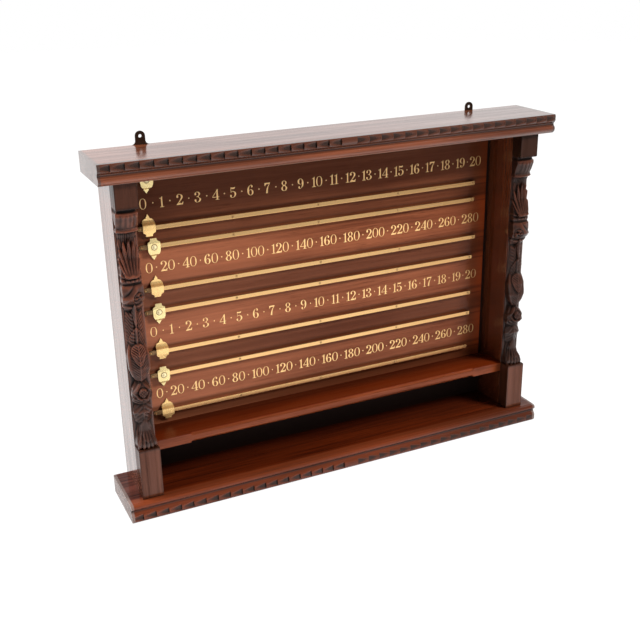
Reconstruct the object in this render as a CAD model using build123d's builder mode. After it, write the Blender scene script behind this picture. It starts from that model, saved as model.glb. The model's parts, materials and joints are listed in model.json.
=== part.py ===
"""Wall scoreboard for snooker: a shallow mahogany case with two carved pilasters, a ledge, an open
well for chalk under it, and a numbered board whose eight brass rails each carry a sliding pointer.

Millimetres. X runs left to right, Y from the player (-Y) to the wall (+Y), and Z up. The origin is
the middle of the base's underside.
"""

from build123d import *
import os
from math import radians, sqrt, tan

os.makedirs("parts", exist_ok=True)

# Case
case_width = 1000.0  # length of the top and base boards
case_depth = 144.0  # front to back of the same boards
case_height = 740.0  # underside of the base to the top of the top board
board_thickness = 40.0
end_overhang = 30.0  # the boards run past the side boards by this much
side_thickness = 44.0
side_depth = 95.0
tenon_length = 10.0  # stub tenons of the side boards, let into both boards
tenon_shoulder = 9.0  # all round a stub tenon

# Edge mouldings, with heights counted from the face that the carved roll lies against
crown_roll, crown_cove, crown_bead = 17.5, 8.0, 12.5
base_roll, base_cove, base_bead = 22.0, 8.0, 9.0
roll_crest = 0.46  # height of the roll's foremost line, as a share of the roll
roll_roundness = 0.72  # radius of the roll, as a share of its height
cove_sink = 6.5  # deepest line of the cove, behind the front
bead_start_sink = 3.2
bead_sink = 1.4  # crest of the bead
crown_lip_sink = 5.0  # where the bead ends, above the underside of the top board
base_lip_sink = 9.0  # where the bead runs out into the top of the base board
lip_chamfer = 1.2

# Carved roll: blocks cut by a gouge, each half facing the plain block in the middle
block_count = 37
gouge_radius = 24.0
scoop_depth = 3.6
scoop_end_depth = 0.9  # at the shallow end
scoop_wall = 2.2  # uncut width left beside the upright wall of a scoop

# Stiles: cap block, carved pilaster and plinth, glued to the front edge of each side board
stile_projection = 31.5
plinth_height = 111.0
plinth_chamfer = 1.2
cap_height = 52.0
cap_rounding = 2.0

# Ledge
ledge_drop = 2.0  # top of the plinths to the top of the ledge
ledge_thickness = 21.0
ledge_housing = 8.0  # let into each side board
chamfer_leg = 5.0
chamfer_inset = 75.0  # square stretch left at each end of the ledge's front
chamfer_stop = 14.0  # length of the curved stop at each end of a chamfer

# Back panel, rebated into the case, and the numbered board that it carries
back_thickness = 9.0
side_rebate = 10.0
end_rebate = 6.0
numbers_thickness = 12.3
numbers_end_gap = 14.0

# Brass rails, from the top down: the room above the pointer of each, and the gap between its right end
# and the side board. The rooms share out the height that the pointers leave free.
rail_left_gap = 17.0
rails = {
    "1_upper": (6.0, 50.0),
    "1_lower": (40.9, 50.0),
    "2_upper": (4.9, 50.0),
    "2_lower": (32.9, 43.0),
    "3_upper": (14.7, 50.0),
    "3_lower": (31.7, 50.0),
    "4_upper": (18.2, 50.0),
    "4_lower": (29.4, 54.0),
}
room_below = 12.3  # between the lowest pointer and the ledge
rail_height = 10.0
rail_flat = 3.0  # thickness of the flat that a pointer grips
rail_web = 6.0  # the web holds the flat this far off the board
rail_web_height = 4.0
rail_web_inset = 1.0  # at each end of a rail
rail_rounding = 1.3
rail_left_radius = 4.6
rail_right_radius = 2.0
rail_screw_count = 5
rail_screw_left = 6.0  # first screw, from the left end
rail_screw_right = 8.0  # last screw, from the right end

# Sliding pointers: how far each stands at rest from the rail's left end, close to the raised screw
# that stops it
pointer_rest = {
    "1_upper": 26.5,
    "1_lower": 24.3,
    "2_upper": 31.0,
    "2_lower": 30.8,
    "3_upper": 30.3,
    "3_lower": 30.5,
    "4_upper": 29.0,
    "4_lower": 32.3,
}
pointer_width = 25.5
pointer_sheet = 1.1
pointer_clearance = 0.3
point_reach = {"upper": 29.5, "lower": 27.5}  # rail's middle to the point
point_lift = 1.8  # air between the point and the numbered board
point_slope = {"upper": (16.5, 20.5), "lower": (6.2, 14.0)}  # the sheet slopes to the board between these
point_bend = 2.6  # bend radius, at the middle of the sheet
shoulder_start = {"upper": 7.5, "lower": 9.2}  # the sides are straight up to here
shoulder_bulge = {"upper": (10.4, 6.0), "lower": (10.9, 4.3)}  # half width, and how far from the neck
neck_width = {"upper": 8.8, "lower": 6.4}
neck_length = 1.3
barb_width = {"upper": 10.8, "lower": 8.0}
barb_length = 7.4
tab_reach = {"upper": 16.0, "lower": 17.0}  # rail's middle to the shaped edge away from the point
tab_shoulder = 6.5  # the sides are straight from here
tab_edge_width = 13.5
tab_edge_height = 2.6  # straight sides next to that edge
tab_lean = 17.0  # degrees that the shaped tab leans towards the board
claw_width = 17.0
claw_lap = 2.2  # how far the claws reach behind the rail's flat
claw_bend = 0.6  # bend radius, at the middle of the sheet

# Studs on the upper pointers
stud_drop = 1.5  # below the rail's middle
stud_radius = 4.8
stud_rim = 0.8
stud_dome_radius = 3.1
stud_dome = 1.5
stud_shank = 1.5

# Countersunk wood screws
shank_radius = 1.3
head_radius = 2.9
countersink_angle = 82.0
screw_play = 0.05
screw_point = 2.5
tip_room = 0.5  # a pilot hole is deeper than its screw by this much
rail_screw_bite = 9.5  # depth of the pilot holes in the numbered board
stop_head = 1.1  # the first screw of a rail has a raised head, which stops the pointer
back_screw_bite = 7.0
hanger_screw_bite = 15.0
numbers_screw_count = 4  # behind row 1 and behind row 4, through the back panel into the numbered board
numbers_screw_inset = 96.0  # side board to the first and the last of them
side_screw_count = 3  # through the back panel into each side board
side_screw_inset = 50.0  # top and base boards to the first and the last of them
ledge_screw_count = 3
ledge_screw_inset = 126.0

# Hanger plates, let in flush behind the top board, with their eyes above it
hanger_inset = {"left": 120.0, "right": 130.0}  # end of the board to the eye
hanger_rise = {"left": 16.4, "right": 8.0}  # top of the board to the eye
hanger_thickness = 2.4
hanger_hole_radius = 3.3
hanger_ear = 10.0  # radius of the rounded ear, and half width of the neck
hanger_foot = 18.0  # half width of the part that is screwed on
hanger_shoulder = 16.5  # eye to where the foot is full width
hanger_drop = 41.0  # eye to the foot of the plate
hanger_corner = 5.0
hanger_screw_drops = (22.5, 34.0)

# Carved drop of a pilaster, from the cap block down to the plinth. Each motif is lofted through
# stations of (height, half width, edge, crest), as shares of the space that the stile leaves it.
carved_drop = {
    "capital": [(1.000, 0.97, 0.62, 0.84), (0.972, 0.98, 0.70, 0.90), (0.934, 0.93, 0.42, 0.66),
                (0.913, 0.90, 0.30, 0.56)],
    "astragal": [(0.923, 0.91, 0.30, 0.52), (0.918, 0.98, 0.42, 0.66), (0.909, 0.98, 0.40, 0.64),
                 (0.904, 0.88, 0.24, 0.46)],
    "neck": [(0.908, 0.90, 0.26, 0.50), (0.880, 0.84, 0.10, 0.34), (0.850, 0.84, 0.08, 0.30)],
    "husk": [(0.872, 0.90, 0.14, 0.36), (0.803, 0.96, 0.24, 0.46), (0.745, 1.00, 0.52, 0.76),
             (0.732, 1.00, 0.58, 0.84), (0.726, 0.96, 0.52, 0.78)],
    "rosette": [(0.734, 0.88, 0.38, 0.56), (0.700, 0.95, 0.56, 0.78), (0.646, 0.97, 0.62, 0.84),
                (0.612, 0.86, 0.24, 0.48), (0.590, 0.78, 0.12, 0.34)],
    "long_leaf": [(0.620, 0.62, 0.18, 0.42), (0.560, 0.80, 0.10, 0.36), (0.489, 0.90, 0.12, 0.38),
                  (0.430, 0.84, 0.08, 0.28)],
    "drop_leaf": [(0.457, 0.70, 0.12, 0.34), (0.405, 0.98, 0.42, 0.68), (0.340, 0.96, 0.54, 0.82),
                  (0.305, 0.60, 0.36, 0.62), (0.288, 0.22, 0.16, 0.32)],
    "bud": [(0.300, 0.40, 0.10, 0.28), (0.262, 0.92, 0.46, 0.80), (0.222, 0.94, 0.48, 0.82),
            (0.190, 0.66, 0.10, 0.34)],
    "spray": [(0.205, 0.60, 0.08, 0.26), (0.155, 0.92, 0.28, 0.52), (0.105, 0.72, 0.06, 0.28)],
    "acanthus": [(0.135, 0.42, 0.10, 0.34), (0.072, 0.84, 0.20, 0.46), (0.036, 0.98, 0.50, 0.74),
                 (0.010, 1.00, 0.62, 0.84), (0.000, 0.98, 0.58, 0.80)],
}
carving_ground = 2.5  # flat ground of the carving, against the side board

# Levels and planes that follow from the sizes above
back_y = case_depth / 2
front_y = back_y - case_depth
crown_bottom = case_height - board_thickness
side_outer = case_width / 2 - end_overhang
side_inner = side_outer - side_thickness
side_middle = (side_outer + side_inner) / 2
side_front = back_y - side_depth
stile_front = side_front - stile_projection
plinth_top = board_thickness + plinth_height
cap_bottom = crown_bottom - cap_height
ledge_top = plinth_top - ledge_drop
ledge_bottom = ledge_top - ledge_thickness
ledge_middle = (ledge_top + ledge_bottom) / 2
numbers_back = back_y - back_thickness
numbers_front = numbers_back - numbers_thickness
rail_back = numbers_front - rail_web
rail_front = rail_back - rail_flat
block_pitch = case_width / block_count
tenon_width = side_thickness - 2 * tenon_shoulder
tenon_depth = side_depth - back_thickness - 2 * tenon_shoulder
tenon_middle = side_front + tenon_shoulder + tenon_depth / 2
panel_half_width = side_inner + side_rebate
head_height = (head_radius - shank_radius) / tan(radians(countersink_angle / 2))

# Middle of a pointer's sheet: off the numbered board before the rail, at the point and behind the rail,
# and above or below the rail's middle
plate_off = rail_web + rail_flat + pointer_clearance + pointer_sheet / 2
point_off = point_lift + pointer_sheet / 2
claw_off = rail_web - pointer_clearance - pointer_sheet / 2
grip_height = rail_height / 2 + pointer_clearance + pointer_sheet / 2
plate_front = numbers_front - plate_off - pointer_sheet / 2

# Rails: their ends, and the levels of their middles
rail_left = rail_left_gap - side_inner
rail_right = {name: side_inner - gap for name, (room, gap) in rails.items()}
places = {name: name.split("_")[1] for name in rails}
reach_above = {"upper": tab_reach["upper"], "lower": point_reach["lower"]}
reach_below = {"upper": point_reach["upper"], "lower": tab_reach["lower"]}
taken_height = sum(reach_above[place] + reach_below[place] for place in places.values())
rooms = sum(room for room, gap in rails.values()) + room_below
room_scale = (crown_bottom - ledge_top - taken_height) / rooms
rail_level = {}
level = crown_bottom
for name, (room, gap) in rails.items():
    rail_level[name] = level - room * room_scale - reach_above[places[name]]
    level = rail_level[name] - reach_below[places[name]]

hanger_eyes = {
    "left": (hanger_inset["left"] - case_width / 2, case_height + hanger_rise["left"]),
    "right": (case_width / 2 - hanger_inset["right"], case_height + hanger_rise["right"]),
}


def spread(first, last, count):
    """Evenly spaced values, both ends included."""
    return [first + (last - first) * number / (count - 1) for number in range(count)]


# Screws of the back panel and of each rail, at (x, z)
numbers_screw_end = side_inner - numbers_screw_inset
ledge_screw_end = side_inner - ledge_screw_inset
numbers_screws = [(x, (rail_level[f"{row}_upper"] + rail_level[f"{row}_lower"]) / 2)
                  for x in spread(-numbers_screw_end, numbers_screw_end, numbers_screw_count)
                  for row in (1, 4)]
right_side_screws = [(side_inner + side_rebate / 2, z)
                     for z in spread(board_thickness + side_screw_inset, crown_bottom - side_screw_inset,
                                     side_screw_count)]
left_side_screws = [(-x, z) for x, z in right_side_screws]
ledge_screws = [(x, ledge_middle) for x in spread(-ledge_screw_end, ledge_screw_end, ledge_screw_count)]
back_screws = numbers_screws + right_side_screws + left_side_screws + ledge_screws
rail_screws = {name: [(x, rail_level[name])
                      for x in spread(rail_left + rail_screw_left, rail_right[name] - rail_screw_right,
                                      rail_screw_count)]
               for name in rails}


def facing(y, x=0.0, z=0.0):
    """Plane at depth y that faces the player, with its X to the right and its Y up."""
    return Plane(origin=(x, y, z), x_dir=(1, 0, 0), z_dir=(0, -1, 0))


def facing_wall(y):
    """Plane at depth y that faces the wall, with its X to the left and its Y up."""
    return Plane(origin=(0, y, 0), x_dir=(-1, 0, 0), z_dir=(0, 1, 0))


def from_behind(points):
    """The same (x, z) points in the coordinates of a plane that faces the wall."""
    return [(-x, z) for x, z in points]


def save(piece, name):
    piece.part.label = name
    export_step(piece.part, f"parts/{name}.step")


def save_pair(right, name):
    """Write the right-hand piece and its mirror image on the left."""
    with BuildPart() as left:
        mirror(right.part, about=Plane.YZ)
    save(left, f"{name}_left")
    save(right, f"{name}_right")


def squared(x_range, y_range, z_range):
    """Square timber between two corners."""
    ranges = (x_range, y_range, z_range)
    with Locations(tuple((low + high) / 2 for low, high in ranges)):
        Box(*(high - low for low, high in ranges))


def pilot_holes(plane, points, depth):
    with Locations(plane):
        with Locations(*points):
            Hole(radius=shank_radius, depth=depth)


def countersunk_holes(plane, points, depth):
    with Locations(plane):
        with Locations(*points):
            CounterSinkHole(shank_radius, head_radius, depth, countersink_angle)


def screw(length, raised=0.0):
    """Wood screw along its own -Z, with the rim of its head at z = 0."""
    shank = shank_radius - screw_play
    rim = head_radius - screw_play
    with BuildPart() as body:
        with BuildSketch(Plane.XZ):
            with BuildLine():
                Polyline((0, 0), (0, -length), (shank, screw_point - length), (shank, -head_height),
                         (rim, 0), (0, 0))
            make_face()
        revolve(axis=Axis.Z)
        if raised:
            with BuildSketch(Plane.XZ):
                with BuildLine():
                    RadiusArc((0, raised), (rim, 0), (rim**2 + raised**2) / (2 * raised))
                    Polyline((rim, 0), (0, 0), (0, raised))
                make_face()
            revolve(axis=Axis.Z)
    return body.part


def set_screws(name, groups):
    """Write one node of separate screws, from groups of (screw, plane, points)."""
    with BuildPart() as screws:
        for one, plane, points in groups:
            with Locations(plane):
                with Locations(*points):
                    add(one)
    save(screws, name)


def moulded_board(roll_face, up, roll, cove, bead, lip_sink):
    """Top or base board. The carved roll lies against roll_face, and up leads to the other face."""
    bead_start = roll + cove
    other_face = roll_face + up * board_thickness
    roll_radius = roll_roundness * roll
    crest = roll_crest * roll
    foot_sink = roll_radius - sqrt(roll_radius**2 - crest**2)
    quirk_sink = roll_radius - sqrt(roll_radius**2 - (roll - crest) ** 2)

    def at(sink, height):
        return (front_y + sink, roll_face + up * height)

    with BuildPart() as board:
        with BuildSketch(Plane.YZ):
            with BuildLine():
                Polyline(at(lip_sink + lip_chamfer, board_thickness), (back_y, other_face),
                         (back_y, roll_face), at(foot_sink, 0))
                ThreePointArc(at(foot_sink, 0), at(0, crest), at(quirk_sink, roll))
                ThreePointArc(at(quirk_sink, roll), at(cove_sink, roll + cove / 2),
                              at(bead_start_sink, bead_start))
                ThreePointArc(at(bead_start_sink, bead_start), at(bead_sink, bead_start + bead / 3),
                              at(lip_sink, bead_start + bead))
                Line(at(lip_sink, bead_start + bead), at(lip_sink + lip_chamfer, board_thickness))
            make_face()
        extrude(amount=case_width / 2, both=True)

        # Gouge cuts, deep at the end nearer the middle block
        for hand in (-1, 1):
            for block_number in range(1, (block_count + 1) // 2):
                near_x = hand * ((block_number - 0.5) * block_pitch + scoop_wall / 2)
                deep = Vector(near_x, front_y - gouge_radius + scoop_depth, roll_face + up * crest)
                shallow = deep + Vector(hand * (block_pitch - scoop_wall), scoop_end_depth - scoop_depth, 0)
                with BuildSketch(Plane(origin=deep, x_dir=(0, 0, 1), z_dir=shallow - deep)):
                    Circle(gouge_radius)
        extrude(amount=block_pitch - scoop_wall, mode=Mode.SUBTRACT)

        # Mortises for the side boards, and the rebate for the back panel
        with BuildSketch(Plane.XY.offset(other_face)):
            with Locations((-side_middle, tenon_middle), (side_middle, tenon_middle)):
                Rectangle(tenon_width, tenon_depth)
        extrude(amount=-up * tenon_length, mode=Mode.SUBTRACT)
        with BuildSketch(Plane.XY.offset(other_face)):
            with Locations((0, back_y - back_thickness / 2)):
                Rectangle(2 * panel_half_width, back_thickness)
        extrude(amount=-up * end_rebate, mode=Mode.SUBTRACT)
    return board


def hanger_outline(eye_x, eye_z):
    """Face of a hanger plate on the back of the top board, around its eye."""
    flare = hanger_foot - hanger_ear
    with BuildSketch(facing(back_y, eye_x, eye_z)) as outline:
        with BuildLine():
            RadiusArc((0, hanger_ear), (hanger_ear, 0), hanger_ear)
            Line((hanger_ear, 0), (hanger_ear, flare - hanger_shoulder))
            RadiusArc((hanger_ear, flare - hanger_shoulder), (hanger_foot, -hanger_shoulder), -flare)
            FilletPolyline((hanger_foot, -hanger_shoulder), (hanger_foot, -hanger_drop), (0, -hanger_drop),
                           radius=hanger_corner)
            mirror(about=Plane.YZ)
        make_face()
    return outline.sketch


def pointer(x, z, place):
    """Sliding pointer on the rail at height z. The upper one of a row points down, the lower one up."""
    up = -1 if place == "upper" else 1
    tab = tab_reach[place]
    point = point_reach[place]
    slope_start, slope_end = point_slope[place]
    bulge_half_width, bulge_from_neck = shoulder_bulge[place]
    barb = point - barb_length
    neck = barb - neck_length
    neck_half_width = neck_width[place] / 2

    def side_view(height, off):
        return (numbers_front - off, z + up * height)

    def lean(height):
        return plate_off - (height - grip_height) * tan(radians(tab_lean))

    beyond = pointer_sheet  # the sheet runs past the outline that trims it
    half = pointer_width / 2
    with BuildPart() as piece:
        # Side view of the sheet: leaning tab, plate in front of the rail, and the point along the board
        with BuildSketch(Plane.YZ.offset(x)):
            with BuildLine():
                FilletPolyline(side_view(-tab - beyond, lean(tab + beyond)),
                               side_view(-grip_height, plate_off),
                               side_view(slope_start, plate_off),
                               side_view(slope_end, point_off),
                               side_view(point + beyond, point_off), radius=point_bend)
            trace(line_width=pointer_sheet)
        extrude(amount=half, both=True)

        # Front view of the pointer, which trims the sheet
        with BuildSketch(facing(numbers_front, x, z)):
            with BuildLine():
                Polyline((0, -up * tab), (tab_edge_width / 2, -up * tab),
                         (tab_edge_width / 2, -up * (tab - tab_edge_height)))
                Spline((tab_edge_width / 2, -up * (tab - tab_edge_height)), (half, -up * tab_shoulder),
                       tangents=((0, up), (0, up)))
                Line((half, -up * tab_shoulder), (half, up * shoulder_start[place]))
                ThreePointArc((half, up * shoulder_start[place]),
                              (bulge_half_width, up * (neck - bulge_from_neck)),
                              (neck_half_width, up * neck))
                Polyline((neck_half_width, up * neck), (barb_width[place] / 2, up * barb), (0, up * point))
                mirror(about=Plane.YZ)
            make_face()
        extrude(amount=2 * plate_off, mode=Mode.INTERSECT)

        # Claws folded round both edges of the rail's flat
        with BuildSketch(Plane.YZ.offset(x)):
            for edge in (-1, 1):
                with BuildLine():
                    FilletPolyline(side_view(edge * grip_height, plate_off),
                                   side_view(edge * grip_height, claw_off),
                                   side_view(edge * (rail_height / 2 - claw_lap), claw_off), radius=claw_bend)
                trace(line_width=pointer_sheet)
        extrude(amount=claw_width / 2, both=True)

        if place == "upper":
            with Locations(facing(plate_front, x, z - stud_drop)):
                Hole(radius=stud_shank)
    return piece


def pilaster_section(height, half_width, edge, crest):
    """One station of a carved motif: upright sides and a round crest, on the ground's plane."""
    level = plinth_top + height * (cap_bottom - plinth_top)
    side_x = half_width * side_thickness / 2
    with BuildSketch(Plane((side_middle, side_front, level))) as section:
        with BuildLine():
            Polyline((-side_x, -edge * stile_projection), (-side_x, 0), (side_x, 0),
                     (side_x, -edge * stile_projection))
            ThreePointArc((side_x, -edge * stile_projection), (0, -crest * stile_projection),
                          (-side_x, -edge * stile_projection))
        make_face()
    return section.sketch


# Top board, with its carved cornice moulding and the recesses for the hanger plates
crown = moulded_board(case_height, -1, crown_roll, crown_cove, crown_bead, crown_lip_sink)
with BuildPart() as top_board:
    add(crown.part)
    for eye_x, eye_z in hanger_eyes.values():
        extrude(hanger_outline(eye_x, eye_z), amount=hanger_thickness, mode=Mode.SUBTRACT)
        pilot_holes(facing_wall(back_y - hanger_thickness),
                    from_behind([(eye_x, eye_z - drop) for drop in hanger_screw_drops]), hanger_screw_bite)
save(top_board, "top_board")

base_board = moulded_board(0, 1, base_roll, base_cove, base_bead, base_lip_sink)
save(base_board, "base_board")

# Side boards, with stub tenons, the back rebate and the housing for the ledge
with BuildPart() as side_board:
    squared((side_inner, side_outer), (side_front, back_y), (board_thickness, crown_bottom))
    with BuildSketch(Plane.XY.offset(board_thickness - tenon_length)):
        with Locations((side_middle, tenon_middle)):
            Rectangle(tenon_width, tenon_depth)
    extrude(amount=crown_bottom - board_thickness + 2 * tenon_length)
    with BuildSketch(Plane.XY.offset(board_thickness)):
        with Locations((side_inner + side_rebate / 2, back_y - back_thickness / 2)):
            Rectangle(side_rebate, back_thickness)
    extrude(amount=crown_bottom - board_thickness, mode=Mode.SUBTRACT)
    with BuildSketch(facing(side_front, side_inner + ledge_housing / 2, ledge_middle)):
        Rectangle(ledge_housing, ledge_thickness)
    extrude(amount=side_front - numbers_back, mode=Mode.SUBTRACT)
    pilot_holes(facing_wall(numbers_back), from_behind(right_side_screws), back_screw_bite)
save_pair(side_board, "side_board")

with BuildPart() as cap_block:
    squared((side_inner, side_outer), (stile_front, side_front), (cap_bottom, crown_bottom))
    fillet(cap_block.faces().sort_by(Axis.Z)[0].edges().sort_by(Axis.Y)[:-1], cap_rounding)
save_pair(cap_block, "cap_block")

with BuildPart() as plinth:
    squared((side_inner, side_outer), (stile_front, side_front), (board_thickness, plinth_top))
    chamfer(plinth.faces().sort_by(Axis.Z)[-1].edges().sort_by(Axis.Y)[:-1], plinth_chamfer)
save_pair(plinth, "plinth")

with BuildPart() as pilaster:
    squared((side_inner, side_outer), (side_front - carving_ground, side_front), (plinth_top, cap_bottom))
    for stations in carved_drop.values():
        loft([pilaster_section(*station) for station in stations], ruled=True)
save_pair(pilaster, "pilaster")

# Ledge: its front edges are chamfered, and each chamfer ends in a curved stop
with BuildPart() as ledge:
    squared((-side_inner - ledge_housing, side_inner + ledge_housing), (side_front, numbers_back),
            (ledge_bottom, ledge_top))
    chamfer_end = side_inner - chamfer_inset
    chamfer_floor = chamfer_leg / sqrt(2)
    for arris_z, tilt in ((ledge_top, 1), (ledge_bottom, -1)):
        with BuildSketch(Plane(origin=(0, side_front, arris_z), x_dir=(1, 0, 0), z_dir=(0, tilt, 1))):
            with BuildLine():
                Line((0, chamfer_floor), (chamfer_end - chamfer_stop, chamfer_floor))
                Spline((chamfer_end - chamfer_stop, chamfer_floor), (chamfer_end, 0),
                       tangents=((1, 0), (0.4, -1)))
                Polyline((chamfer_end, 0), (chamfer_end, -chamfer_leg), (0, -chamfer_leg))
                mirror(about=Plane.YZ)
            make_face()
        extrude(amount=chamfer_leg, both=True, mode=Mode.SUBTRACT)
    pilot_holes(facing_wall(numbers_back), from_behind(ledge_screws), back_screw_bite)
save(ledge, "ledge")

with BuildPart() as back_panel:
    squared((-panel_half_width, panel_half_width), (numbers_back, back_y),
            (board_thickness - end_rebate, crown_bottom + end_rebate))
    countersunk_holes(facing_wall(back_y), from_behind(back_screws), back_thickness)
save(back_panel, "back_panel")

with BuildPart() as numbered_board:
    half_width = side_inner - numbers_end_gap
    squared((-half_width, half_width), (numbers_front, numbers_back), (ledge_top, crown_bottom))
    for points in rail_screws.values():
        pilot_holes(facing(numbers_front), points, rail_screw_bite)
    pilot_holes(facing_wall(numbers_back), from_behind(numbers_screws), back_screw_bite)
save(numbered_board, "numbered_board")

# Rails, each a flat on a web, with countersunk holes
for name, level in rail_level.items():
    right = rail_right[name]
    with BuildPart() as rail:
        with BuildSketch(facing(rail_back, (rail_left + right) / 2, level)) as flat:
            Rectangle(right - rail_left, rail_height)
            fillet(flat.vertices().group_by(Axis.X)[0], rail_left_radius)
            fillet(flat.vertices().group_by(Axis.X)[-1], rail_right_radius)
        extrude(amount=rail_flat)
        fillet(rail.faces().sort_by(Axis.Y)[0].edges(), rail_rounding)
        squared((rail_left + rail_web_inset, right - rail_web_inset), (rail_back, numbers_front),
                (level - rail_web_height / 2, level + rail_web_height / 2))
        countersunk_holes(facing(rail_front), rail_screws[name], rail_web + rail_flat)
    save(rail, f"rail_{name}")

for name, place in places.items():
    slider = pointer(rail_left + pointer_rest[name], rail_level[name], place)
    save(slider, f"pointer_{name}")

# Studs, riveted through the plates of the upper pointers
shank = stud_shank - screw_play
for name, place in places.items():
    if place == "upper":
        centre = (rail_left + pointer_rest[name], plate_front, rail_level[name] - stud_drop)
        with BuildPart() as stud:
            with BuildSketch(Plane(centre)):
                with BuildLine():
                    Polyline((0, -stud_rim - stud_dome), (0, pointer_sheet), (shank, pointer_sheet),
                             (shank, 0), (stud_radius, 0), (stud_radius, -stud_rim),
                             (stud_dome_radius, -stud_rim))
                    RadiusArc((stud_dome_radius, -stud_rim), (0, -stud_rim - stud_dome),
                              (stud_dome_radius**2 + stud_dome**2) / (2 * stud_dome))
                make_face()
            revolve(axis=Axis(centre, (0, 1, 0)))
        save(stud, f"stud_{name}")

# Screws of the rails and of the back panel
rail_screw_length = rail_web + rail_flat + rail_screw_bite - tip_room
stop_screws = [points[0] for points in rail_screws.values()]
flush_screws = [point for points in rail_screws.values() for point in points[1:]]
set_screws("rail_screws", [(screw(rail_screw_length, stop_head), facing(rail_front), stop_screws),
                           (screw(rail_screw_length), facing(rail_front), flush_screws)])
set_screws("back_screws", [(screw(back_thickness + back_screw_bite - tip_room), facing_wall(back_y),
                            from_behind(back_screws))])

# Hanger plates and their screws
hanger_screws = [(eye_x, eye_z - drop)
                 for eye_x, eye_z in hanger_eyes.values() for drop in hanger_screw_drops]
for hand, (eye_x, eye_z) in hanger_eyes.items():
    with BuildPart() as hanger:
        extrude(hanger_outline(eye_x, eye_z), amount=hanger_thickness)
        with Locations(facing(back_y, eye_x, eye_z)):
            Hole(radius=hanger_hole_radius)
        holes = [(eye_x, eye_z - drop) for drop in hanger_screw_drops]
        countersunk_holes(facing_wall(back_y), from_behind(holes), hanger_thickness)
    save(hanger, f"hanger_{hand}")
set_screws("hanger_screws", [(screw(hanger_thickness + hanger_screw_bite - tip_room), facing_wall(back_y),
                              from_behind(hanger_screws))])
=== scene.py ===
"""Looks of a wall scoreboard for snooker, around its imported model.

Metres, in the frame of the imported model: X runs left to right, Y from the player (-Y) to the wall (+Y),
and Z up from the underside of the base.
"""

import json
from functools import partial
from itertools import accumulate
from math import pi, radians

import bmesh
import bpy
import numpy as np
from mathutils import Matrix, Vector


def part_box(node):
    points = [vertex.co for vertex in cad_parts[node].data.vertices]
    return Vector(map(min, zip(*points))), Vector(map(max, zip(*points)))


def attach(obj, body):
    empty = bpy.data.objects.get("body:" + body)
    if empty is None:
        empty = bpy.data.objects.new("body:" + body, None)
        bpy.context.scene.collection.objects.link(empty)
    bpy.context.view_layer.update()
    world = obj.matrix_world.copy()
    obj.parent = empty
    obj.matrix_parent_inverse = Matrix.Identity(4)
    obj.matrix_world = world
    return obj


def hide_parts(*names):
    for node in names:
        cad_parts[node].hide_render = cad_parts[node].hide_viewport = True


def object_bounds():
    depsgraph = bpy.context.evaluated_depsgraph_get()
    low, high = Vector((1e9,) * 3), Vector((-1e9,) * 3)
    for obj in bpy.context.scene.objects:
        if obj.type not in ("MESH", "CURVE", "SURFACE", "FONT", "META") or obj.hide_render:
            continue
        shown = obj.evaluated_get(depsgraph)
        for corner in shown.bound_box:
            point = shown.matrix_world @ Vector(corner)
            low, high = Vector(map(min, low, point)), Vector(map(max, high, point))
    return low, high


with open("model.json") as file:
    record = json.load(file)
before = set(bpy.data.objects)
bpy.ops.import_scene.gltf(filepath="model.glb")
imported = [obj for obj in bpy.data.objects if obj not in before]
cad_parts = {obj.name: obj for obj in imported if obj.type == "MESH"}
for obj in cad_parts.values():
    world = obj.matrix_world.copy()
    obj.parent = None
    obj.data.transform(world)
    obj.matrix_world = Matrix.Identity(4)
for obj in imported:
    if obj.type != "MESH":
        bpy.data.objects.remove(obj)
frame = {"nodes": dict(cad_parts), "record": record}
cad_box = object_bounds()

MM = 0.001
scene = bpy.context.scene

# Camera, from the straight edges of the photograph
CAMERA_PLACE = Vector((-0.8668, -1.7681, 1.114))
CAMERA_AZIMUTH = -25.11  # degrees
CAMERA_ELEVATION = 21.7
CAMERA_ROLL = -1.03
FOCAL_LENGTH = 54.82  # mm, on a sensor 36 mm wide

# Studio, in metres and watts: place, aim, size and power of each lamp
FLOOR_RADIUS = 9.0
FLOOR_DIM_FROM, FLOOR_WHITE_FROM = -1.6, -1.1  # Y in front of the case
FLOOR_WHITE, FLOOR_DIM = 1.06, 0.4  # brightness near the case and in front of it
FLOOR_PAINT = (0.82, 0.82, 0.82)
ROOM_DIM, ROOM_LIGHT = 0.3, 0.3  # brightness of the room in front, in reflections, and as light
LAMPS = {
    "key": ((1.9, -1.9, 2.5), (0, 0, 0.35), (0.9, 0.9), 170),
    "side": ((-1.8, 0.5, 2.2), (0, 0, 0.4), (1, 1), 105),
}

# Woodwork
ARRIS = 0.7 * MM  # rounding of the edges of sawn and planed timber
FINE_ARRIS = 0.15 * MM  # rounding of the edges of sheet brass
SHARP_EDGE = 28  # degrees from which an edge is rounded
FLAT = 0.4  # degrees up to which faces become one
WELD = 0.001 * MM  # corners this close are one

# Carved rolls: middle of the arc of each, as (Y, Z), and its radius
CROWN_ROLL, CROWN_ROLL_RADIUS = (-0.0594, 0.73195), 0.0126
BASE_ROLL, BASE_ROLL_RADIUS = (-0.05616, 0.01012), 0.01584
CROWN_COVE, BASE_COVE = 0.7185, 0.026  # heights of the middles of the coves
COVE_REACH = 5 * MM
SCOOP_SHADE = (0.3 * MM, 2.3 * MM)  # depth of a gouge cut where its painted shade begins, and where it is full
FRONT_HIGHLIGHT = (12 * MM, 8 * MM)  # behind a roll's middle, where the painted highlight of the front ends
END_GRAIN = (6.5 * MM, 4.5 * MM)  # from the ends of the boards, where the end grain begins

# Painted shade: middle and reach of the lines above and below a rail, and reach in the corners and seams of a
# block
PANEL_FOOT = 0.14  # height where the lowest dark strip of the numbered board ends
SHADE_ABOVE, SHADE_BELOW = (8 * MM, 7 * MM), (6 * MM, 3 * MM)
CORNER_SHADE, SEAM_SHADE = 4 * MM, 7 * MM

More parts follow.
